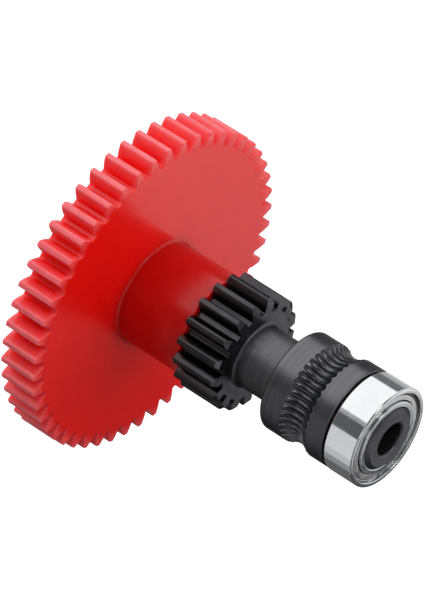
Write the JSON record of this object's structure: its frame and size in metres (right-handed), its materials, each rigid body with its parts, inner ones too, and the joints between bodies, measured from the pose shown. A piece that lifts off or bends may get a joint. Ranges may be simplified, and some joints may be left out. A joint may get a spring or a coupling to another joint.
{
  "type": "extruder gear assembly",
  "caption": "Filament extruder drive: red spur gear pressed on a black steel shaft with pinion, neck and grooved filament wheel, in shielded ball bearings.",
  "frame": {"origin": "centre of the rear bearing's back face, on the shaft's axis, where the part stands", "axes": "+Z along the shaft from the rear bearing to the front bearing; +X towards a tooth of the big gear"},
  "size_m": [0.026, 0.026, 0.0282],
  "materials": {
    "red_acetal": "moulded, smooth, slightly translucent",
    "black_oxide_steel": "black oxide, satin, turned",
    "ring_steel": "ground and polished bearing steel",
    "ball_steel": "polished",
    "shield_steel": "pressed sheet, satin",
    "snap_ring_steel": "spring wire",
    "cage_steel": "pressed sheet"
  },
  "bodies": {
    "rear_bearing_seat": {"rear_outer_ring": "ring_steel", "rear_shield_front": "shield_steel", "rear_snap_ring_front": "snap_ring_steel", "rear_shield_back": "shield_steel", "rear_snap_ring_back": "snap_ring_steel"},
    "driven_shaft": {"drive_shaft": "black_oxide_steel", "drive_gear": "red_acetal", "rear_inner_ring": "ring_steel", "front_inner_ring": "ring_steel"},
    "front_bearing_seat": {"front_outer_ring": "ring_steel", "front_shield_front": "shield_steel", "front_snap_ring_front": "snap_ring_steel", "front_shield_back": "shield_steel", "front_snap_ring_back": "snap_ring_steel"},
    "rear_ball_set": {"rear_ball_cage": "cage_steel", "rear_ball_01": "ball_steel", "rear_ball_02": "ball_steel", "rear_ball_03": "ball_steel", "rear_ball_04": "ball_steel", "rear_ball_05": "ball_steel", "rear_ball_06": "ball_steel", "rear_ball_07": "ball_steel", "rear_ball_08": "ball_steel", "rear_ball_09": "ball_steel", "rear_ball_10": "ball_steel", "rear_ball_11": "ball_steel"},
    "front_ball_set": {"front_ball_cage": "cage_steel", "front_ball_01": "ball_steel", "front_ball_02": "ball_steel", "front_ball_03": "ball_steel", "front_ball_04": "ball_steel", "front_ball_05": "ball_steel", "front_ball_06": "ball_steel", "front_ball_07": "ball_steel", "front_ball_08": "ball_steel", "front_ball_09": "ball_steel", "front_ball_10": "ball_steel", "front_ball_11": "ball_steel"}
  },
  "joints": [
    {"name": "shaft_spin", "type": "hinge", "parent": "rear_bearing_seat", "child": "driven_shaft", "pos_m": [0, 0, 0.00125], "axis": [0, 0, 1], "continuous": true},
    {"name": "front_ring_spin", "type": "hinge", "parent": "driven_shaft", "child": "front_bearing_seat", "pos_m": [0, 0, 0.0267], "axis": [0, 0, 1], "continuous": true},
    {"name": "rear_cage_spin", "type": "hinge", "parent": "rear_bearing_seat", "child": "rear_ball_set", "pos_m": [0, 0, 0.00125], "axis": [0, 0, 1], "continuous": true},
    {"name": "front_cage_spin", "type": "hinge", "parent": "driven_shaft", "child": "front_ball_set", "pos_m": [0, 0, 0.0267], "axis": [0, 0, 1], "continuous": true}
  ],
  "couplings": [
    {"joint": "rear_cage_spin", "follows": "shaft_spin", "ratio": 0.4385},
    {"joint": "front_cage_spin", "follows": "front_ring_spin", "ratio": 0.5615}
  ]
}
